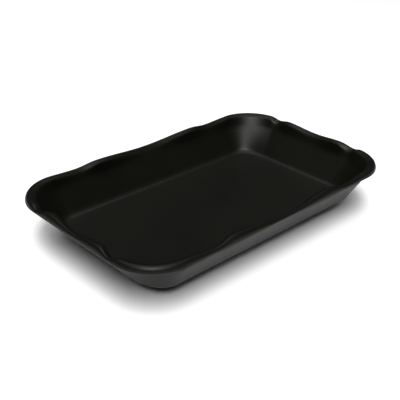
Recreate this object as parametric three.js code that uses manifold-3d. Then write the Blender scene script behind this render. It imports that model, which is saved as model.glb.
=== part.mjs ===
// Magnetic parts tray: a moulded shell with a wavy rolled rim, standing on two round magnets.
// Millimetres, +Z up, X along the length. The origin is on the bench, under the middle of the tray.

import * as THREE from 'three';
import { mergeVertices } from 'three/addons/utils/BufferGeometryUtils.js';
import Module from 'manifold-3d';

const wasm = await Module();
wasm.setup();

// ---- driving dimensions ------------------------------------------------------------------

// Tray shell. The lip edge is the outermost line of the rim, level all the way round.
const trayLength = 270;
const trayWidth = 165.2;
const lipHeight = 28.5;          // from the underside of the shell to the lip edge
const cornerRadius = 36;         // of the lip edge, in plan
const wall = 2.2;
const longSideInset = 20.35;     // from the lip edge in to the foot of the long walls
const shortSideInset = 26.2;     // the same for the short walls, which lean further
const footFilletRadius = 7;      // between the inner wall and the floor
const cornerTaper = 0.65;        // how much the plan radius shrinks for each mm inwards
const waveFootHeight = 23.5;     // the sides are flat below this and follow the waves above it

// Rim. Its surface rises from the lip edge to a top, falls to a shoulder and turns down the wall.
// Each is given by its inset from the lip edge and its rise above it, at a dip and at a crest.
const dipRim = { topInset: 1, topRise: 2, shoulderInset: 5.5, shoulderRise: -1 };
const crestRim = { topInset: 3.4, topRise: 5.4, shoulderInset: 7.8, shoulderRise: 4.2 };
const rimFlat = 1;               // level stretch at the rim's top
const shoulderCut = 1.1;         // how far the shoulder's rounding runs each way
const lipWall = 1.8;             // thickness of the lip that hangs outside the rim's hollow
const hollowRise = 0.25;         // least height of that hollow above the lip edge

// Where the waves stand along each half side, as shares of its straight part, and how high:
// a wave value of 0 is the lowest dip and 1 is the highest crest.
const longSideWave = { centre: 0, bumpAt: 0.543, dipAt: 0.731, dip: 0.3 };
const shortSideWave = { centre: 0.35, bumpAt: 0.641, dipAt: 0.934, dip: 0.18 };
const cornerWave = 0.81;
const cornerWaveRun = 6;         // how far round the corner the last rise runs, mm

// Magnets under the floor.
const magnetRadius = 37;
const magnetHoleRadius = 16;
const magnetThickness = 8;
const magnetChamfer = 0.8;
const fitGap = 0.3;              // clearance between pieces that touch

// Rubber boots.
const bootWall = 2.7;
const bootEdgeRound = 1.6;
const bootSpacing = 16;          // between the two boots
const bootLipThickness = 1;      // the inner edge that the washer clamps
const bootLipReach = 3.2;        // how far the washer covers that edge
const treadGrooves = 3;
const treadGrooveWidth = 1.2;
const treadGrooveDepth = 0.8;

// Clamp washers and screws.
const washerLand = 0.3;          // of the hole above its countersink
const washerEdgeRadius = 0.4;
const washerClear = 0.5;         // from the bench up to the washer and the screw's head
const screwRadius = 2.1;
const screwHeadRadius = 4;
const screwTipGap = 0.5;         // from the tip to the end of its pilot hole
const screwTipLength = 3;
const threadPitch = 1.4;
const threadDepth = 0.35;
const recessWidth = 1.1;
const recessLength = 4.4;
const recessDepth = 1.4;

// Bosses and locating rims on the underside of the shell.
const bossFloor = 0.8;           // of the shell's floor left above the blind pilot hole
const pilotClearance = 0.3;
const locatingRimThickness = 1.5;
const locatingRimHeight = 2.6;
const locatingRimDraft = 0.3;

// ---- sizes that follow from them ---------------------------------------------------------

const bootOuterRadius = magnetRadius + fitGap + bootWall;
const magnetOffset = bootOuterRadius + bootSpacing / 2;
const bossRadius = magnetHoleRadius - fitGap;
const headDepth = screwHeadRadius - screwRadius;
const washerTop = washerClear + headDepth + washerLand;
const bootSole = washerTop + fitGap + bootLipThickness;
const magnetBottom = bootSole + fitGap;
const standHeight = magnetBottom + magnetThickness + fitGap;   // bench to shell underside
const bootLipRadius = magnetHoleRadius + fitGap;
const washerRadius = bootLipRadius + bootLipReach;
const pilotTop = standHeight + wall - bossFloor;
const screwTip = pilotTop - screwTipGap;

// ---- mesh helpers ------------------------------------------------------------------------

const STATIONS = { corner: 8, x: 24, y: 12 };   // in a corner, and along each kind of side
const FOOT_SHARES = [0, 0.5, 1];
const LIP_SHARES = [1, 2 / 3, 1 / 3, 0];
const ROUND = 40;
const SMALL_ROUND = 24;
const MERGE_DISTANCE = 1e-4;
const JOIN_DEPTH = 0.5;          // how far a boss runs into the floor it grows from

// A three.js geometry as a manifold solid.
function solidOf(geometry) {
  const bare = geometry.clone();
  bare.deleteAttribute('normal');
  bare.deleteAttribute('uv');
  const merged = mergeVertices(bare, MERGE_DISTANCE);
  return new wasm.Manifold(new wasm.Mesh({
    numProp: 3,
    vertProperties: Float32Array.from(merged.attributes.position.array),
    triVerts: Uint32Array.from(merged.index.array),
  }));
}

function geometryOf(solid) {
  const mesh = solid.getMesh();
  const geometry = new THREE.BufferGeometry();
  geometry.setAttribute('position', new THREE.BufferAttribute(mesh.vertProperties, 3));
  geometry.setIndex(new THREE.BufferAttribute(mesh.triVerts, 1));
  geometry.computeVertexNormals();
  return geometry;
}

// A turned piece about Z. The profile is a list of [radius, z], counter-clockwise.
function turned(profile, segments = ROUND) {
  const points = profile.map(([radius, z]) => new THREE.Vector2(radius, z));
  points.push(points[0].clone());
  const geometry = new THREE.LatheGeometry(points, segments);
  geometry.rotateX(Math.PI / 2);
  return geometry;
}

// A solid through closed rings of points. The first ring is capped facing up, the last down.
function loft(rings) {
  const count = rings[0].length;
  const positions = rings.flat().flatMap((point) => point.toArray());
  const index = [];
  for (let j = 0; j + 1 < rings.length; j += 1) {
    for (let i = 0; i < count; i += 1) {
      const next = (i + 1) % count;
      const [a, b] = [j * count + i, j * count + next];
      const [c, d] = [b + count, a + count];
      index.push(a, d, c, a, c, b);
    }
  }
  const capAt = (ring, up) => {
    const centre = positions.length / 3;
    positions.push(0, 0, rings[ring][0].z);
    for (let i = 0; i < count; i += 1) {
      const [a, b] = [ring * count + i, ring * count + (i + 1) % count];
      index.push(...(up ? [centre, a, b] : [centre, b, a]));
    }
  };
  capAt(0, true);
  capAt(rings.length - 1, false);
  const geometry = new THREE.BufferGeometry();
  geometry.setAttribute('position', new THREE.Float32BufferAttribute(positions, 3));
  geometry.setIndex(index);
  geometry.computeVertexNormals();
  return geometry;
}

// ---- shell outline and waves -------------------------------------------------------------

function ease(share) {
  const clamped = Math.min(Math.max(share, 0), 1);
  return 0.5 - 0.5 * Math.cos(Math.PI * clamped);
}

// Height of the wave, 0 to 1, at a distance from the middle of a side.
function waveAt(distance, straight, wave) {
  const bumpAt = wave.bumpAt * straight;
  const dipAt = wave.dipAt * straight;
  if (distance < bumpAt) {
    return wave.centre + (1 - wave.centre) * ease(distance / bumpAt);
  }
  if (distance < dipAt) {
    return 1 + (wave.dip - 1) * ease((distance - bumpAt) / (dipAt - bumpAt));
  }
  const run = straight + cornerWaveRun - dipAt;
  return wave.dip + (cornerWave - wave.dip) * ease((distance - dipAt) / run);
}

// The stations round the tray, counter-clockwise from the +X end of the corner at +X +Y. Each
// has its quarter, its angle in degrees, its share along the side that follows the corner and its
// wave value. It also says how far it belongs to a long side, from 0 to 1, and to a corner.
function stationsAround() {
  const shortSide = { axis: 'y', straight: trayWidth / 2 - cornerRadius, wave: shortSideWave };
  const longSide = { axis: 'x', straight: trayLength / 2 - cornerRadius, wave: longSideWave };
  const quarters = [
    { signX: 1, signY: 1, start: 0, before: shortSide, after: longSide },
    { signX: -1, signY: 1, start: 90, before: longSide, after: shortSide },
    { signX: -1, signY: -1, start: 180, before: shortSide, after: longSide },
    { signX: 1, signY: -1, start: 270, before: longSide, after: shortSide },
  ];
  const cornerLength = cornerRadius * Math.PI / 2;
  const stations = [];
  for (const quarter of quarters) {
    const { before, after } = quarter;
    const towardsLong = after.axis === 'x';
    for (let i = 0; i <= STATIONS.corner; i += 1) {
      const turn = i / STATIONS.corner;
      const side = turn < 0.5 ? before : after;
      const arc = cornerLength * Math.min(turn, 1 - turn);
      const wave = waveAt(side.straight + arc, side.straight, side.wave);
      const long = ease(towardsLong ? turn : 1 - turn);
      const corner = Math.sin(Math.PI * turn);
      const angle = quarter.start + 90 * turn;
      stations.push({ ...quarter, angle, share: 1, wave, long, corner });
    }
    for (let i = 1; i < STATIONS[after.axis]; i += 1) {
      const share = 1 - 2 * (i / STATIONS[after.axis]);
      const wave = waveAt(Math.abs(share) * after.straight, after.straight, after.wave);
      const long = towardsLong ? 1 : 0;
      stations.push({ ...quarter, angle: quarter.start + 90, share, wave, long, corner: 0 });
    }
  }
  return stations;
}

// A point of the shell at one station: inset from the lip edge, at height z above the underside.
function shellPoint(station, inset, z) {
  const radius = cornerRadius - cornerTaper * inset;
  const centreX = trayLength / 2 - inset - radius;
  const centreY = trayWidth / 2 - inset - radius;
  const angle = THREE.MathUtils.degToRad(station.angle);
  const alongX = station.after.axis === 'x' ? station.share : 1;
  const alongY = station.after.axis === 'y' ? station.share : 1;
  return new THREE.Vector3(
    station.signX * centreX * alongX + radius * Math.cos(angle),
    station.signY * centreY * alongY + radius * Math.sin(angle),
    standHeight + z,
  );
}

// ---- shell section -----------------------------------------------------------------------

// All points of the section are (inset from the lip edge, height above the underside).
const at = (inset, z) => new THREE.Vector2(inset, z);

// The rim's top and shoulder at one wave value.
function rimAt(wave) {
  const between = (size) => THREE.MathUtils.lerp(dipRim[size], crestRim[size], wave);
  return {
    top: at(between('topInset'), lipHeight + between('topRise')),
    shoulder: at(between('shoulderInset'), lipHeight + between('shoulderRise')),
  };
}

// Where the waves start on the wall. A side is flat up to here, in line with its lowest dip. The
// middle of a corner runs straight on to the shoulder instead.
function waveFootAt(foot, shoulder, corner) {
  const alongTo = (end) => foot.clone().lerp(end, (waveFootHeight - foot.y) / (end.y - foot.y));
  return alongTo(rimAt(0).shoulder).lerp(alongTo(shoulder), corner);
}

// Unit normal of a stretch of the section, towards the hidden side.
function hiddenNormal(from, to) {
  const along = to.clone().sub(from).normalize();
  return at(along.y, -along.x);
}

// The corner of the section that lies one wall thickness behind a corner of the visible side.
function behindCorner(before, corner, after) {
  const normals = [hiddenNormal(before, corner), hiddenNormal(corner, after)];
  const shared = 1 + normals[0].dot(normals[1]);
  return corner.clone().addScaledVector(normals[0].add(normals[1]), wall / shared);
}

// A round between a wall that leans out by so much for each mm of height and a level face at
// height z. The share runs from the wall, at 0, to the level face, at 1.
function footRound(lean, cornerInset, z, radius, share) {
  const wallAngle = Math.atan2(1, lean);
  const centreInset = cornerInset + radius * Math.tan(wallAngle / 2);
  const angle = wallAngle * (1 - share);
  return at(centreInset - radius * Math.sin(angle), z + radius * (1 - Math.cos(angle)));
}

// The section through the wall at one station, from the floor's edge over the rim and down to
// the underside.
function shellSection({ wave, long, corner }) {
  const { top, shoulder } = rimAt(wave);
  const footInset = THREE.MathUtils.lerp(shortSideInset, longSideInset, long);
  const foot = at(footInset, wall);
  const waveFoot = waveFootAt(foot, shoulder, corner);
  const lean = (foot.x - waveFoot.x) / (waveFoot.y - foot.y);
  const flatEnd = at(top.x + rimFlat, top.y);
  const towards = (from, to, length) => to.clone().sub(from).setLength(length).add(from);
  const lipRise = (share) => at(
    top.x * (1 - Math.cos(share * Math.PI / 2)),
    lipHeight + (top.y - lipHeight) * Math.sin(share * Math.PI / 2),
  );
  const visible = [
    ...FOOT_SHARES.map((share) => footRound(lean, footInset, wall, footFilletRadius, 1 - share)),
    waveFoot,
    towards(shoulder, waveFoot, shoulderCut),
    towards(shoulder, flatEnd, shoulderCut),
    flatEnd,
    ...LIP_SHARES.map(lipRise),
  ];
  const alongFloor = at(footInset + 1, wall);
  const behindFoot = behindCorner(waveFoot, foot, alongFloor);
  const hidden = [
    at(lipWall, lipHeight),
    at(Math.max(top.x, lipWall + hollowRise), Math.max(top.y - wall, lipHeight + hollowRise)),
    behindCorner(flatEnd, shoulder, waveFoot),
    behindCorner(shoulder, waveFoot, foot),
    ...FOOT_SHARES.map((share) => footRound(lean, behindFoot.x, 0, footFilletRadius + wall, share)),
  ];
  return [...visible, ...hidden];
}

// ---- sub-parts ---------------------------------------------------------------------------

// Blind boss that centres the magnet and takes the screw, at the middle of a magnet.
function magnetBoss() {
  const bottom = magnetBottom + fitGap;
  const top = standHeight + JOIN_DEPTH;
  return turned([[0, bottom], [bossRadius, bottom], [bossRadius, top], [0, top]]);
}

function pilotHole() {
  const bottom = magnetBottom - fitGap;
  const radius = screwRadius + pilotClearance;
  return turned([[0, bottom], [radius, bottom], [radius, pilotTop], [0, pilotTop]], SMALL_ROUND);
}

// Low rim on the underside that the boot sits inside.
function locatingRim() {
  const inner = bootOuterRadius + fitGap;
  const outer = inner + locatingRimThickness;
  const bottom = standHeight - locatingRimHeight;
  const top = standHeight + JOIN_DEPTH;
  return turned([
    [inner, bottom], [outer - locatingRimDraft, bottom], [outer, standHeight], [outer, top],
    [inner, top],
  ]);
}

function trayShell() {
  const stations = stationsAround();
  const sections = stations.map(shellSection);
  const rings = sections[0].map((_, level) => stations.map((station, i) => {
    const { x: inset, y: z } = sections[i][level];
    return shellPoint(station, inset, z);
  }));
  let solid = solidOf(loft(rings));
  for (const side of [-1, 1]) {
    for (const added of [magnetBoss(), locatingRim()]) {
      solid = solid.add(solidOf(added.translate(side * magnetOffset, 0, 0)));
    }
    solid = solid.subtract(solidOf(pilotHole().translate(side * magnetOffset, 0, 0)));
  }
  return geometryOf(solid);
}

function ringMagnet() {
  const [bottom, top] = [magnetBottom, magnetBottom + magnetThickness];
  const c = magnetChamfer;
  return turned([
    [magnetHoleRadius, bottom + c], [magnetHoleRadius + c, bottom],
    [magnetRadius - c, bottom], [magnetRadius, bottom + c],
    [magnetRadius, top - c], [magnetRadius - c, top],
    [magnetHoleRadius + c, top], [magnetHoleRadius, top - c],
  ]);
}

// Rubber cup round the magnet, with ring grooves in its sole and a thin inner edge.
function rubberBoot() {
  const inner = magnetRadius + fitGap;
  const top = standHeight - fitGap;
  const rebate = washerRadius + fitGap;
  const profile = [[bootLipRadius, bootSole - bootLipThickness], [rebate, bootSole - bootLipThickness]];
  profile.push([rebate, 0]);
  const treadRun = bootOuterRadius - bootEdgeRound - rebate;
  for (let i = 1; i <= treadGrooves; i += 1) {
    const middle = rebate + treadRun * (i / (treadGrooves + 1));
    const [near, far] = [middle - treadGrooveWidth / 2, middle + treadGrooveWidth / 2];
    profile.push([near, 0], [near, treadGrooveDepth], [far, treadGrooveDepth], [far, 0]);
  }
  for (const degrees of [0, 45, 90]) {
    const angle = THREE.MathUtils.degToRad(degrees);
    profile.push([
      bootOuterRadius - bootEdgeRound * (1 - Math.sin(angle)),
      bootEdgeRound * (1 - Math.cos(angle)),
    ]);
  }
  profile.push([bootOuterRadius, top], [inner, top], [inner, bootSole], [bootLipRadius, bootSole]);
  return turned(profile);
}

function clampWasher() {
  const hole = screwRadius + fitGap;
  const headHole = screwHeadRadius + fitGap;
  const e = washerEdgeRadius;
  return turned([
    [headHole, washerClear], [washerRadius - e, washerClear], [washerRadius, washerClear + e],
    [washerRadius, washerTop - e], [washerRadius - e, washerTop], [hole, washerTop],
    [hole, washerClear + headDepth],
  ]);
}

function crossRecess(z) {
  const arm = new THREE.BoxGeometry(recessLength, recessWidth, recessDepth * 2);
  const cross = solidOf(arm).add(solidOf(arm.clone().rotateZ(Math.PI / 2)));
  return cross.translate([0, 0, z]);
}

// Countersunk screw, head down, its underside level with the washer's.
function magnetScrew() {
  const bottom = washerClear;
  const profile = [[0, bottom], [screwHeadRadius, bottom], [screwRadius, bottom + headDepth]];
  const threadStart = bottom + headDepth + threadPitch;
  const threads = Math.floor((screwTip - screwTipLength - threadStart) / threadPitch);
  for (let i = 0; i < threads; i += 1) {
    const z = threadStart + i * threadPitch;
    profile.push([screwRadius - threadDepth, z], [screwRadius, z + threadPitch / 2]);
  }
  profile.push([screwRadius - threadDepth, screwTip - screwTipLength], [0, screwTip]);
  const solid = solidOf(turned(profile, SMALL_ROUND)).subtract(crossRecess(bottom));
  return geometryOf(solid);
}

// ---- materials ---------------------------------------------------------------------------

function blackPlastic() {
  return new THREE.MeshStandardMaterial({ color: 0x0d0d0b, roughness: 0.38, metalness: 0 });
}

function ferrite() {
  return new THREE.MeshStandardMaterial({ color: 0x35363a, roughness: 0.7, metalness: 0.2 });
}

function rubber() {
  return new THREE.MeshStandardMaterial({ color: 0x161616, roughness: 0.85, metalness: 0 });
}

function zincSteel() {
  return new THREE.MeshStandardMaterial({ color: 0xb9bcc0, roughness: 0.32, metalness: 1 });
}

// ---- assembly ----------------------------------------------------------------------------

function named(name, geometry, material) {
  const mesh = new THREE.Mesh(geometry, material);
  mesh.name = name;
  return mesh;
}

function magnetSet(prefix, x) {
  const set = new THREE.Group();
  set.add(named(`${prefix}_ring_magnet`, ringMagnet(), ferrite()));
  set.add(named(`${prefix}_rubber_boot`, rubberBoot(), rubber()));
  set.add(named(`${prefix}_clamp_washer`, clampWasher(), zincSteel()));
  set.add(named(`${prefix}_magnet_screw`, magnetScrew(), zincSteel()));
  set.position.x = x;
  return set;
}

const tray = new THREE.Group();
tray.add(named('tray_shell', trayShell(), blackPlastic()));
tray.add(magnetSet('left', -magnetOffset));
tray.add(magnetSet('right', magnetOffset));

export default tray;
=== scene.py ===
import math

import bpy
from mathutils import Matrix, Vector


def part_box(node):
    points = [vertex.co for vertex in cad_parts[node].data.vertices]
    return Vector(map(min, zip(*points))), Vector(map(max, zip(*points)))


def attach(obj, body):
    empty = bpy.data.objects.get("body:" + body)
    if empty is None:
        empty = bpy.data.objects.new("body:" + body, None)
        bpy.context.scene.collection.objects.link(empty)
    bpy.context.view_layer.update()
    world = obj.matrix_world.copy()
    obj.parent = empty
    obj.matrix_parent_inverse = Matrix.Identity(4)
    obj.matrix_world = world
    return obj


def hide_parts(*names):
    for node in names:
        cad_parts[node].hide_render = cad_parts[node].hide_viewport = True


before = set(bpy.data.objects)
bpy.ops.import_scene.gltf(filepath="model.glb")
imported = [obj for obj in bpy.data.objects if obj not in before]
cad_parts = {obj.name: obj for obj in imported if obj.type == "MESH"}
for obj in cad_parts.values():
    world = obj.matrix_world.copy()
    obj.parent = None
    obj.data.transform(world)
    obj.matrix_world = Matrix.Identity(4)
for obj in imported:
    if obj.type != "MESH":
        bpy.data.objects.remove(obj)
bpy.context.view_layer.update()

MM = 0.001

# ---- sizes, in millimetres -------------------------------------------------------------------

SHELL_LOW, SHELL_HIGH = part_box("tray_shell")
BOOT_LOW, BOOT_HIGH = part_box("left_rubber_boot")
WASHER_LOW, WASHER_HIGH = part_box("left_clamp_washer")
MAGNET_LOW, MAGNET_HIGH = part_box("left_ring_magnet")
SCREW_LOW, SCREW_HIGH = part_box("left_magnet_screw")

FIT_GAP = 0.3
TRAY_LENGTH = (SHELL_HIGH.x - SHELL_LOW.x) / MM
TRAY_WIDTH = (SHELL_HIGH.y - SHELL_LOW.y) / MM
STAND_HEIGHT = BOOT_HIGH.z / MM + FIT_GAP
LIP_HEIGHT = 28.5
CORNER_RADIUS = 36.0
WALL = 2.2
LONG_SIDE_INSET = 20.35
SHORT_SIDE_INSET = 26.2
FOOT_FILLET_RADIUS = 7.0
CORNER_TAPER = 0.65
WAVE_FOOT_HEIGHT = 23.5

# Inset and rise of the rim's top and of its shoulder, from the lip edge.
DIP_RIM = {"top": (1.0, 2.0), "shoulder": (5.5, -1.0)}
CREST_RIM = {"top": (3.4, 5.4), "shoulder": (7.8, 4.2)}
RIM_FLAT = 1.0
LIP_WALL = 1.8
LIP_EDGE_ROUND = 0.5
HOLLOW_RISE = 0.25

# How far each rounded corner of the section runs, before and after the corner.
WAVE_FOOT_ROUND = (4.0, 2.2)
SHOULDER_ROUND = (1.4, 1.4)
RIM_TOP_ROUND = (1.2, 0.6)
HIDDEN_ROUND = (1.0, 1.0)

LONG_SIDE_WAVE = {"centre": 0.0, "bump_at": 0.543, "dip_at": 0.731, "dip": 0.3}
SHORT_SIDE_WAVE = {"centre": 0.35, "bump_at": 0.641, "dip_at": 0.934, "dip": 0.18}
CORNER_WAVE = 0.81
CORNER_WAVE_RUN = 6.0

MAGNET_OFFSET = abs(BOOT_LOW.x + BOOT_HIGH.x) / 2 / MM
BOOT_RADIUS = (BOOT_HIGH.x - BOOT_LOW.x) / 2 / MM
MAGNET_RADIUS = (MAGNET_HIGH.x - MAGNET_LOW.x) / 2 / MM
MAGNET_HOLE_RADIUS = 16.0
MAGNET_CHAMFER = 0.8
BOSS_RADIUS = MAGNET_HOLE_RADIUS - FIT_GAP
BOSS_BOTTOM = MAGNET_LOW.z / MM + FIT_GAP
BOSS_FLOOR = 0.8
BOSS_EDGE_ROUND = 0.6
PILOT_RADIUS = 2.4
PILOT_TOP = STAND_HEIGHT + WALL - BOSS_FLOOR
PILOT_OVERSHOOT = 1.0
JOIN_TOP = STAND_HEIGHT + WALL / 2
LOCATING_RIM = {"thickness": 1.5, "height": 2.6, "draft": 0.3, "edge_round": 0.35}
MAGNET_EDGE_ROUND = 0.15

BOOT_LIP_THICKNESS = 1.0
BOOT_EDGE_ROUND = 1.6
BOOT_RIB_ROUND = 0.25
TREAD = {"grooves": 3, "width": 1.2, "depth": 0.8}
WASHER_RADIUS = (WASHER_HIGH.x - WASHER_LOW.x) / 2 / MM
WASHER_EDGE_ROUND = 0.2
SCREW_RADIUS = 2.1
SCREW_HEAD_RADIUS = (SCREW_HIGH.x - SCREW_LOW.x) / 2 / MM
SCREW_TIP_LENGTH = 3.0
THREAD_PITCH = 1.4
THREAD_DEPTH = 0.35
RECESS = {"width": 1.1, "length": 4.4, "depth": 1.4, "taper": 0.6}

# How finely the smooth meshes are cut.
CORNER_STEPS = 24
LONG_STEPS = 120
SHORT_STEPS = 72
ROUND_STEPS = 144
SMALL_ROUND_STEPS = 48
FILLET_STEPS = 12
WALL_STEPS = 6
BEND_STEPS = 8
RIM_TOP_STEPS = 5
LIP_STEPS = 10
LIP_EDGE_STEPS = 4
HIDDEN_STEPS = 5
BOOT_EDGE_STEPS = 6
EDGE_STEPS = 3

# Corners of a square, counter-clockwise, and the faces of a box with those below and above.
SQUARE = ((-1, -1), (1, -1), (1, 1), (-1, 1))
BOX_SIDES = [(i, (i + 1) % 4, (i + 1) % 4 + 4, i + 4) for i in range(4)]
BOX_FACES = [(3, 2, 1, 0), (4, 5, 6, 7)] + BOX_SIDES


# ---- mesh helpers ----------------------------------------------------------------------------

def new_object(name, vertices, faces, smooth=True):
    mesh = bpy.data.meshes.new(name)
    mesh.from_pydata([Vector(v) * MM for v in vertices], [], faces)
    mesh.validate()
    mesh.update()
    if smooth:
        mesh.polygons.foreach_set("use_smooth", [True] * len(mesh.polygons))
    piece = bpy.data.objects.new(name, mesh)
    bpy.context.scene.collection.objects.link(piece)
    return piece


def bake_modifiers(piece):
    """Replaces the piece's mesh by what its modifiers make of it."""
    graph = bpy.context.evaluated_depsgraph_get()
    result = bpy.data.meshes.new_from_object(piece.evaluated_get(graph))
    piece.modifiers.clear()
    piece.data = result
    return piece


def combine(piece, other, operation):
    """Joins or cuts a piece by another and throws the other away."""
    modifier = piece.modifiers.new("join", "BOOLEAN")
    modifier.operation = operation
    modifier.solver = "EXACT"
    modifier.object = other
    bake_modifiers(piece)
    bpy.data.objects.remove(other)
    return piece


def round_edges(piece, width, angle=30):
    modifier = piece.modifiers.new("edges", "BEVEL")
    modifier.width = width * MM
    modifier.segments = EDGE_STEPS
    modifier.limit_method = "ANGLE"
    modifier.angle_limit = math.radians(angle)
    modifier.harden_normals = True
    return bake_modifiers(piece)


def turned(name, profile, centre=(0, 0), steps=ROUND_STEPS):
    """A closed piece turned about a vertical axis, from [radius, z] points."""
    vertices, rings, faces = [], [], []
    for radius, z in profile:
        if radius < 1e-6:
            rings.append([len(vertices)] * steps)
            vertices.append((centre[0], centre[1], z))
            continue
        rings.append(list(range(len(vertices), len(vertices) + steps)))
        for i in range(steps):
            angle = 2 * math.pi * i / steps
            x, y = radius * math.cos(angle), radius * math.sin(angle)
            vertices.append((centre[0] + x, centre[1] + y, z))
    for lower, upper in zip(rings, rings[1:] + rings[:1]):
        for i in range(steps):
            j = (i + 1) % steps
            corners = [lower[i], lower[j], upper[j], upper[i]]
            face = list(dict.fromkeys(corners))
            if len(face) > 2:
                faces.append(face)
    return new_object(name, vertices, faces)


def lerp(start, end, share):
    return start + (end - start) * share


# ---- the shell's outline and waves -----------------------------------------------------------

def ease(share):
    return 0.5 - 0.5 * math.cos(math.pi * min(max(share, 0), 1))


def wave_at(distance, straight, wave):
    """Height of the wave, 0 to 1, at a distance from the middle of a side."""
    bump_at = wave["bump_at"] * straight
    dip_at = wave["dip_at"] * straight
    if distance < bump_at:
        return lerp(wave["centre"], 1, ease(distance / bump_at))
    if distance < dip_at:
        return lerp(1, wave["dip"], ease((distance - bump_at) / (dip_at - bump_at)))
    run = straight + CORNER_WAVE_RUN - dip_at
    return lerp(wave["dip"], CORNER_WAVE, ease((distance - dip_at) / run))


def stations_around():
    """Each station: quarter signs, angle, shares along X and Y, wave, foot inset, corner share."""
    straight_x = TRAY_LENGTH / 2 - CORNER_RADIUS
    straight_y = TRAY_WIDTH / 2 - CORNER_RADIUS
    along_x = (straight_x, LONG_SIDE_WAVE, LONG_STEPS, LONG_SIDE_INSET)
    along_y = (straight_y, SHORT_SIDE_WAVE, SHORT_STEPS, SHORT_SIDE_INSET)
    quarter_length = CORNER_RADIUS * math.pi / 2
    stations = []
    for quarter, signs in enumerate([(1, 1), (-1, 1), (-1, -1), (1, -1)]):
        before, after = (along_y, along_x) if quarter % 2 == 0 else (along_x, along_y)
        start = quarter * math.pi / 2
        for i in range(CORNER_STEPS + 1):
            turn = i / CORNER_STEPS
            side = before if turn < 0.5 else after
            wave = wave_at(side[0] + quarter_length * min(turn, 1 - turn), side[0], side[1])
            foot_inset = lerp(before[3], after[3], ease(turn))
            angle = start + math.pi / 2 * turn
            stations.append((signs, angle, 1, 1, wave, foot_inset, math.sin(math.pi * turn)))
        straight, waves, steps, foot_inset = after
        for i in range(1, steps):
            share = 1 - 2 * i / steps
            wave = wave_at(abs(share) * straight, straight, waves)
            share_x, share_y = (share, 1) if quarter % 2 == 0 else (1, share)
            stations.append((signs, start + math.pi / 2, share_x, share_y, wave, foot_inset, 0))
    return stations


def shell_point(station, inset, z):
    """A point inset from the lip edge at one station, at a height above the shell's underside."""
    (sign_x, sign_y), angle, share_x, share_y = station[:4]
    radius = CORNER_RADIUS - CORNER_TAPER * inset
    centre_x = TRAY_LENGTH / 2 - inset - radius
    centre_y = TRAY_WIDTH / 2 - inset - radius
    return (
        sign_x * centre_x * share_x + radius * math.cos(angle),
        sign_y * centre_y * share_y + radius * math.sin(angle),
        STAND_HEIGHT + z,
    )


# ---- the shell's section ---------------------------------------------------------------------

def rim_at(wave):
    """The rim's top and shoulder at one wave height."""
    places = []
    for key in ("top", "shoulder"):
        inset, rise = (lerp(low, high, wave) for low, high in zip(DIP_RIM[key], CREST_RIM[key]))
        places.append(Vector((inset, LIP_HEIGHT + rise)))
    return places


def wave_foot_at(foot, shoulder, corner):
    """Where the waves start: on a flat side, or straight below the shoulder in a corner."""
    places = []
    for end in (rim_at(0)[1], shoulder):
        places.append(foot.lerp(end, (WAVE_FOOT_HEIGHT - foot.y) / (end.y - foot.y)))
    return places[0].lerp(places[1], corner)


def hidden_normal(start, end):
    along = (end - start).normalized()
    return Vector((along.y, -along.x))


def behind_corner(before, corner, after):
    """The corner that lies one wall thickness behind a corner of the visible side."""
    first, second = hidden_normal(before, corner), hidden_normal(corner, after)
    return corner + (first + second) * (WALL / (1 + first.dot(second)))


def foot_round(lean, corner_inset, z, radius, share):
    """The round at the foot of a leaning wall: share 0 is on the wall, 1 is on the level face."""
    wall_angle = math.atan2(1, lean)
    centre_inset = corner_inset + radius * math.tan(wall_angle / 2)
    angle = wall_angle * (1 - share)
    return Vector((centre_inset - radius * math.sin(angle), z + radius * (1 - math.cos(angle))))


def spread(count):
    return [i / count for i in range(count + 1)]


def rounded(before, corner, after, reach, count):
    """A soft corner: it leaves the first side and meets the second one smoothly."""
    start = corner + (before - corner).normalized() * reach[0]
    end = corner + (after - corner).normalized() * reach[1]
    return [start * (1 - t) ** 2 + corner * (2 * t * (1 - t)) + end * t ** 2 for t in spread(count)]


def between(start, end, count):
    return [start.lerp(end, share) for share in spread(count)[1:-1]]


def shell_section(wave, foot_inset, corner):
    """[inset, z] points: from the floor's edge over the rim to the lip, then the hidden side."""
    top, shoulder = rim_at(wave)
    foot = Vector((foot_inset, WALL))
    wave_foot = wave_foot_at(foot, shoulder, corner)
    lean = (foot.x - wave_foot.x) / (wave_foot.y - foot.y)
    flat_end = top + Vector((RIM_FLAT, 0))
    fillet = [
        foot_round(lean, foot.x, WALL, FOOT_FILLET_RADIUS, 1 - share)
        for share in spread(FILLET_STEPS)
    ]
    bend = rounded(fillet[-1], wave_foot, shoulder, WAVE_FOOT_ROUND, BEND_STEPS)
    section = fillet + between(fillet[-1], bend[0], WALL_STEPS) + bend
    section += rounded(wave_foot, shoulder, flat_end, SHOULDER_ROUND, BEND_STEPS)
    section += rounded(shoulder, flat_end, top, RIM_TOP_ROUND, RIM_TOP_STEPS)
    edge = LIP_EDGE_ROUND
    for share in spread(LIP_STEPS):
        angle = math.pi / 2 * (1 - share)
        rise = (top.y - LIP_HEIGHT - edge) * math.sin(angle)
        section.append(Vector((top.x * (1 - math.cos(angle)), LIP_HEIGHT + edge + rise)))
    for share in spread(LIP_EDGE_STEPS)[1:]:
        angle = math.pi / 2 * share
        rise = edge * (1 - math.sin(angle))
        section.append(Vector((edge * (1 - math.cos(angle)), LIP_HEIGHT + rise)))
    return section + hidden_section(top, flat_end, shoulder, wave_foot, foot, lean)


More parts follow.
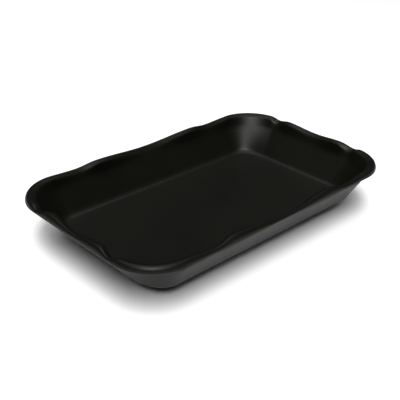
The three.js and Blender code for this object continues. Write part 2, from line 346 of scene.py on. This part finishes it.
def hidden_section(top, flat_end, shoulder, wave_foot, foot, lean):
    """The hidden side: the hollow under the rim, the outer wall and the round at its foot."""
    skirt = Vector((LIP_WALL, LIP_HEIGHT))
    roof = Vector((
        max(top.x, LIP_WALL + HOLLOW_RISE),
        max(top.y - WALL, LIP_HEIGHT + HOLLOW_RISE),
    ))
    ledge = behind_corner(flat_end, shoulder, wave_foot)
    bend = behind_corner(shoulder, wave_foot, foot)
    corner = behind_corner(wave_foot, foot, foot + Vector((1, 0)))
    round_foot = [
        foot_round(lean, corner.x, 0, FOOT_FILLET_RADIUS + WALL, share)
        for share in spread(FILLET_STEPS)
    ]
    section = [skirt, roof] + rounded(roof, ledge, bend, HIDDEN_ROUND, HIDDEN_STEPS)
    section += rounded(ledge, bend, round_foot[0], HIDDEN_ROUND, HIDDEN_STEPS)
    return section + between(section[-1], round_foot[0], WALL_STEPS) + round_foot


# ---- pieces ----------------------------------------------------------------------------------

def tray_shell():
    stations = stations_around()
    sections = [shell_section(*station[4:]) for station in stations]
    count, levels = len(stations), len(sections[0])
    vertices = [
        shell_point(station, *section[level])
        for level in range(levels)
        for station, section in zip(stations, sections)
    ]
    faces = [list(range(count)), list(reversed(range((levels - 1) * count, levels * count)))]
    for level in range(levels - 1):
        for i in range(count):
            j = (i + 1) % count
            a, b = level * count + i, level * count + j
            faces.append([a, a + count, b + count, b])
    shell = new_object("tray_shell_moulding", vertices, faces)
    for side in (-1, 1):
        centre = (side * MAGNET_OFFSET, 0)
        for added in (magnet_boss(centre), locating_rim(centre)):
            combine(shell, added, "UNION")
        combine(shell, pilot_hole(centre), "DIFFERENCE")
    mark_flat_edges(shell)
    return shell


def mark_flat_edges(piece, angle=40):
    """Smooth shading everywhere but across corners sharper than the angle."""
    mesh = piece.data
    mesh.polygons.foreach_set("use_smooth", [True] * len(mesh.polygons))
    mesh.set_sharp_from_angle(angle=math.radians(angle))


def magnet_boss(centre):
    profile = [
        (0, BOSS_BOTTOM), (BOSS_RADIUS - BOSS_EDGE_ROUND, BOSS_BOTTOM),
        (BOSS_RADIUS, BOSS_BOTTOM + BOSS_EDGE_ROUND),
        (BOSS_RADIUS, JOIN_TOP), (0, JOIN_TOP),
    ]
    return turned("magnet_boss", profile, centre)


def pilot_hole(centre):
    bottom = BOSS_BOTTOM - PILOT_OVERSHOOT
    profile = [(0, bottom), (PILOT_RADIUS, bottom), (PILOT_RADIUS, PILOT_TOP), (0, PILOT_TOP)]
    return turned("pilot_hole", profile, centre, SMALL_ROUND_STEPS)


def locating_rim(centre):
    inner = BOOT_RADIUS + FIT_GAP
    outer = inner + LOCATING_RIM["thickness"]
    drafted = outer - LOCATING_RIM["draft"]
    bottom = STAND_HEIGHT - LOCATING_RIM["height"]
    rounding = LOCATING_RIM["edge_round"]
    profile = [
        (inner, bottom + rounding), (inner + rounding, bottom),
        (drafted - rounding, bottom), (drafted, bottom + rounding),
        (outer, STAND_HEIGHT), (outer, JOIN_TOP), (inner, JOIN_TOP),
    ]
    return turned("locating_rim", profile, centre)


def ring_magnet(name, centre):
    bottom, top = MAGNET_LOW.z / MM, MAGNET_HIGH.z / MM
    chamfer = MAGNET_CHAMFER
    profile = [
        (MAGNET_HOLE_RADIUS, bottom + chamfer), (MAGNET_HOLE_RADIUS + chamfer, bottom),
        (MAGNET_RADIUS - chamfer, bottom), (MAGNET_RADIUS, bottom + chamfer),
        (MAGNET_RADIUS, top - chamfer), (MAGNET_RADIUS - chamfer, top),
        (MAGNET_HOLE_RADIUS + chamfer, top), (MAGNET_HOLE_RADIUS, top - chamfer),
    ]
    return round_edges(turned(name, profile, centre), MAGNET_EDGE_ROUND)


def rubber_boot(name, centre):
    inner = MAGNET_RADIUS + FIT_GAP
    top = BOOT_HIGH.z / MM
    sole = MAGNET_LOW.z / MM - FIT_GAP
    hole = MAGNET_HOLE_RADIUS + FIT_GAP
    rebate = WASHER_RADIUS + FIT_GAP
    profile = [(hole, sole - BOOT_LIP_THICKNESS), (rebate, sole - BOOT_LIP_THICKNESS), (rebate, 0)]
    run = BOOT_RADIUS - BOOT_EDGE_ROUND - rebate
    for i in range(1, TREAD["grooves"] + 1):
        middle = rebate + run * i / (TREAD["grooves"] + 1)
        near, far = middle - TREAD["width"] / 2, middle + TREAD["width"] / 2
        profile += [(near, 0), (near, TREAD["depth"]), (far, TREAD["depth"]), (far, 0)]
    for share in spread(BOOT_EDGE_STEPS):
        angle = math.pi / 2 * share
        profile.append((
            BOOT_RADIUS - BOOT_EDGE_ROUND * (1 - math.sin(angle)),
            BOOT_EDGE_ROUND * (1 - math.cos(angle)),
        ))
    profile += [(BOOT_RADIUS, top), (inner, top), (inner, sole), (hole, sole)]
    return round_edges(turned(name, profile, centre), BOOT_RIB_ROUND, angle=40)


def clamp_washer(name, centre):
    bottom, top = WASHER_LOW.z / MM, WASHER_HIGH.z / MM
    hole = SCREW_RADIUS + FIT_GAP
    head_hole = SCREW_HEAD_RADIUS + FIT_GAP
    profile = [
        (head_hole, bottom), (WASHER_RADIUS, bottom), (WASHER_RADIUS, top), (hole, top),
        (hole, bottom + head_hole - hole),
    ]
    return round_edges(turned(name, profile, centre), WASHER_EDGE_ROUND)


def cross_recess(centre, z):
    length, width, depth, taper = (RECESS[key] for key in ("length", "width", "depth", "taper"))
    cross = []
    for size_x, size_y in ((length, width), (width, length)):
        corners = [(x * size_x / 2, y * size_y / 2) for x, y in SQUARE]
        vertices = [(centre[0] + x, centre[1] + y, z - depth) for x, y in corners]
        vertices += [(centre[0] + x * taper, centre[1] + y * taper, z + depth) for x, y in corners]
        cross.append(new_object("recess_arm", vertices, BOX_FACES, smooth=False))
    return combine(cross[0], cross[1], "UNION")


def magnet_screw(name, centre):
    bottom, tip = SCREW_LOW.z / MM, SCREW_HIGH.z / MM
    head_depth = SCREW_HEAD_RADIUS - SCREW_RADIUS
    profile = [(0, bottom), (SCREW_HEAD_RADIUS, bottom), (SCREW_RADIUS, bottom + head_depth)]
    start = bottom + head_depth + THREAD_PITCH
    for i in range(int((tip - SCREW_TIP_LENGTH - start) / THREAD_PITCH)):
        z = start + i * THREAD_PITCH
        profile += [(SCREW_RADIUS - THREAD_DEPTH, z), (SCREW_RADIUS, z + THREAD_PITCH / 2)]
    profile += [(SCREW_RADIUS - THREAD_DEPTH, tip - SCREW_TIP_LENGTH), (0, tip)]
    screw = turned(name, profile, centre, SMALL_ROUND_STEPS)
    combine(screw, cross_recess(centre, bottom), "DIFFERENCE")
    mark_flat_edges(screw, angle=25)
    return screw


# ---- materials -------------------------------------------------------------------------------

class Surface:
    """A material on one Principled shader, with helpers for the nodes that feed it."""

    def __init__(self, name, roughness, metallic=0.0, gloss=0.5):
        self.material = bpy.data.materials.new(name)
        self.material.use_nodes = True
        self.tree = self.material.node_tree
        self.shader = self.tree.nodes["Principled BSDF"]
        self.shader.inputs["Roughness"].default_value = roughness
        self.shader.inputs["Metallic"].default_value = metallic
        self.shader.inputs["Specular IOR Level"].default_value = gloss
        self.place = self.tree.nodes.new("ShaderNodeTexCoord").outputs["Object"]

    def node(self, kind, inputs=None, **settings):
        node = self.tree.nodes.new(kind)
        for key, value in settings.items():
            setattr(node, key, value)
        for key, value in (inputs or {}).items():
            if isinstance(value, bpy.types.NodeSocket):
                self.tree.links.new(value, node.inputs[key])
            else:
                node.inputs[key].default_value = value
        return node

    def stretched(self, scale):
        inputs = {"Vector": self.place, "Scale": scale}
        return self.node("ShaderNodeMapping", inputs).outputs["Vector"]

    def noise(self, scale, detail=3.0, roughness=0.55, vector=None):
        inputs = {"Vector": vector or self.place, "Scale": scale}
        inputs |= {"Detail": detail, "Roughness": roughness}
        return self.node("ShaderNodeTexNoise", inputs).outputs["Fac"]

    def ranged(self, value, low, high, to_low, to_high):
        inputs = {"Value": value, "From Min": low, "From Max": high}
        inputs |= {"To Min": to_low, "To Max": to_high}
        return self.node("ShaderNodeMapRange", inputs).outputs["Result"]

    def colours(self, value, stops):
        ramp = self.node("ShaderNodeValToRGB", {"Fac": value})
        elements = ramp.color_ramp.elements
        while len(elements) < len(stops):
            elements.new(0.5)
        for element, (position, colour) in zip(elements, stops):
            element.position = position
            element.color = (*colour, 1)
        return ramp.outputs["Color"]

    def feed(self, socket, value):
        self.tree.links.new(value, self.shader.inputs[socket])

    def bump(self, height, distance, strength=1.0, under=None):
        inputs = {"Height": height, "Distance": distance * MM, "Strength": strength}
        if under is not None:
            inputs["Normal"] = under
        return self.node("ShaderNodeBump", inputs).outputs["Normal"]


def tray_plastic():
    """Black satin moulded plastic: fine orange peel, faint flow clouds, light handling marks."""
    surface = Surface("tray_plastic", roughness=0.4, gloss=0.14)
    clouds = surface.noise(14.0, detail=4.0)
    grain = surface.noise(1400.0, detail=2.0)
    peel = surface.noise(260.0, detail=2.0)
    surface.feed("Base Color", surface.colours(clouds, [
        (0.3, (0.0024, 0.0024, 0.0016)),
        (0.7, (0.0034, 0.0034, 0.0023)),
    ]))
    lengthwise = surface.stretched((1.0, 0.18, 1.0))
    scuffs = surface.noise(90.0, detail=6.0, roughness=0.7, vector=lengthwise)
    mottled = surface.ranged(clouds, 0.3, 0.7, 0.39, 0.45)
    scuffed = surface.ranged(scuffs, 0.58, 0.74, 0.0, 0.07)
    total = surface.node("ShaderNodeMath", {0: mottled, 1: scuffed}, operation="ADD")
    surface.feed("Roughness", total.outputs["Value"])
    under = surface.bump(peel, 0.05, 0.35)
    surface.feed("Normal", surface.bump(grain, 0.012, 0.5, under))
    return surface.material


def boot_rubber():
    surface = Surface("boot_rubber", roughness=0.7)
    grain = surface.noise(900.0, detail=4.0)
    dust = surface.noise(60.0, detail=5.0)
    surface.feed("Base Color", surface.colours(dust, [
        (0.35, (0.011, 0.011, 0.011)),
        (0.75, (0.022, 0.021, 0.020)),
    ]))
    surface.feed("Roughness", surface.ranged(dust, 0.3, 0.7, 0.62, 0.8))
    surface.feed("Normal", surface.bump(grain, 0.04, 0.5))
    return surface.material


def ferrite():
    surface = Surface("ferrite", roughness=0.6)
    grain = surface.noise(700.0, detail=6.0, roughness=0.7)
    surface.feed("Base Color", surface.colours(grain, [
        (0.3, (0.030, 0.031, 0.034)),
        (0.7, (0.060, 0.061, 0.066)),
    ]))
    surface.feed("Roughness", surface.ranged(grain, 0.3, 0.7, 0.5, 0.72))
    surface.feed("Normal", surface.bump(grain, 0.05, 0.6))
    return surface.material


def zinc_steel():
    surface = Surface("zinc_steel", roughness=0.3, metallic=1.0)
    cloud = surface.noise(120.0, detail=4.0)
    lines = surface.noise(2200.0, detail=2.0, vector=surface.stretched((1.0, 0.06, 1.0)))
    surface.feed("Base Color", surface.colours(cloud, [
        (0.3, (0.52, 0.53, 0.55)),
        (0.7, (0.66, 0.67, 0.68)),
    ]))
    surface.feed("Roughness", surface.ranged(cloud, 0.3, 0.7, 0.24, 0.4))
    surface.feed("Normal", surface.bump(lines, 0.01, 0.4))
    return surface.material


def ground_paint():
    surface = Surface("pale_ground", roughness=0.6)
    surface.shader.inputs["Base Color"].default_value = GROUND_COLOUR
    return surface.material


# ---- assembly --------------------------------------------------------------------------------

def stand_in(piece, node, material):
    """The piece takes a CAD node's place, finish and body."""
    piece.data.materials.clear()
    piece.data.materials.append(material)
    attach(piece, "root")
    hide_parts(node)


def build_tray():
    rubber, magnet, steel = boot_rubber(), ferrite(), zinc_steel()
    stand_in(tray_shell(), "tray_shell", tray_plastic())
    for side, name in ((-1, "left"), (1, "right")):
        centre = (side * MAGNET_OFFSET, 0)
        boot = rubber_boot(f"{name}_boot_moulding", centre)
        stand_in(boot, f"{name}_rubber_boot", rubber)
        ring = ring_magnet(f"{name}_magnet_ring", centre)
        stand_in(ring, f"{name}_ring_magnet", magnet)
        washer = clamp_washer(f"{name}_dished_washer", centre)
        stand_in(washer, f"{name}_clamp_washer", steel)
        screw = magnet_screw(f"{name}_cross_head_screw", centre)
        stand_in(screw, f"{name}_magnet_screw", steel)


# ---- stage, lights and camera ----------------------------------------------------------------

# Angles in radians, lengths in millimetres.
CAMERA = {
    "azimuth": math.radians(-44.15),
    "elevation": math.radians(28.11),
    "roll": math.radians(1.44),
    "distance": 612.47,
    "aim_right": -7.31,
    "aim_up": 6.66,
    "lens": 67.41,
    "sensor": 36.0,
}

# Angles in degrees, distances and sizes in metres, power in watts.
KEY_BOX = {"azimuth": -44, "elevation": 56, "distance": 3.5, "size": (1.25, 2.3), "power": 185}
OVERHEAD_BOX = {"azimuth": 150, "elevation": 75, "distance": 4.0, "size": (3.2, 3.2), "power": 78}
ROOM_COLOUR = (0.9, 0.92, 1.0, 1)
ROOM_STRENGTH = 0.03

# Lengths in millimetres.
GROUND_COLOUR = (0.88, 0.88, 0.88, 1)
GROUND_REACH = 6000.0
GROUND_DEPTH = 20.0


def view_axes(azimuth, elevation, roll=0.0):
    """Unit vectors of a camera: right and up with its roll and without it, then backward.

    At azimuth 0 it looks along +Y.
    """
    back = Vector((
        math.sin(azimuth) * math.cos(elevation),
        -math.cos(azimuth) * math.cos(elevation),
        math.sin(elevation),
    ))
    right = Vector((math.cos(azimuth), math.sin(azimuth), 0))
    up = back.cross(right)
    rolled_right = right * math.cos(roll) + up * math.sin(roll)
    rolled_up = up * math.cos(roll) - right * math.sin(roll)
    return rolled_right, rolled_up, right, up, back


def place_camera():
    axes = view_axes(CAMERA["azimuth"], CAMERA["elevation"], CAMERA["roll"])
    rolled_right, rolled_up, right, up, back = axes
    eye = back * CAMERA["distance"] + right * CAMERA["aim_right"] + up * CAMERA["aim_up"]
    eye.z += STAND_HEIGHT + WALL
    data = bpy.data.cameras.new("camera")
    data.lens = CAMERA["lens"]
    data.sensor_width = CAMERA["sensor"]
    data.clip_start = 0.01
    camera = bpy.data.objects.new("camera", data)
    turn = Matrix((rolled_right, rolled_up, back)).transposed().to_4x4()
    camera.matrix_world = Matrix.Translation(eye * MM) @ turn
    bpy.context.scene.collection.objects.link(camera)
    bpy.context.scene.camera = camera


def area_light(name, azimuth, elevation, distance, size, power):
    """A soft box that faces the tray, from a direction given as the camera's is."""
    back = view_axes(math.radians(azimuth), math.radians(elevation))[4]
    data = bpy.data.lights.new(name, "AREA")
    data.shape = "RECTANGLE"
    data.size, data.size_y = size
    data.energy = power
    light = bpy.data.objects.new(name, data)
    light.location = back * distance
    light.rotation_euler = back.to_track_quat("Z", "Y").to_euler()
    bpy.context.scene.collection.objects.link(light)


def light_stage():
    area_light("key_box", **KEY_BOX)
    area_light("overhead_box", **OVERHEAD_BOX)
    world = bpy.data.worlds.new("room")
    world.use_nodes = True
    background = world.node_tree.nodes["Background"]
    background.inputs["Color"].default_value = ROOM_COLOUR
    background.inputs["Strength"].default_value = ROOM_STRENGTH
    bpy.context.scene.world = world


def pale_floor():
    vertices = [
        (x * GROUND_REACH, y * GROUND_REACH, z)
        for z in (-GROUND_DEPTH, 0)
        for x, y in SQUARE
    ]
    floor = new_object("pale_floor", vertices, BOX_FACES, smooth=False)
    floor.data.materials.append(ground_paint())


bpy.context.scene.view_settings.view_transform = "Standard"
place_camera()
build_tray()
light_stage()
pale_floor()
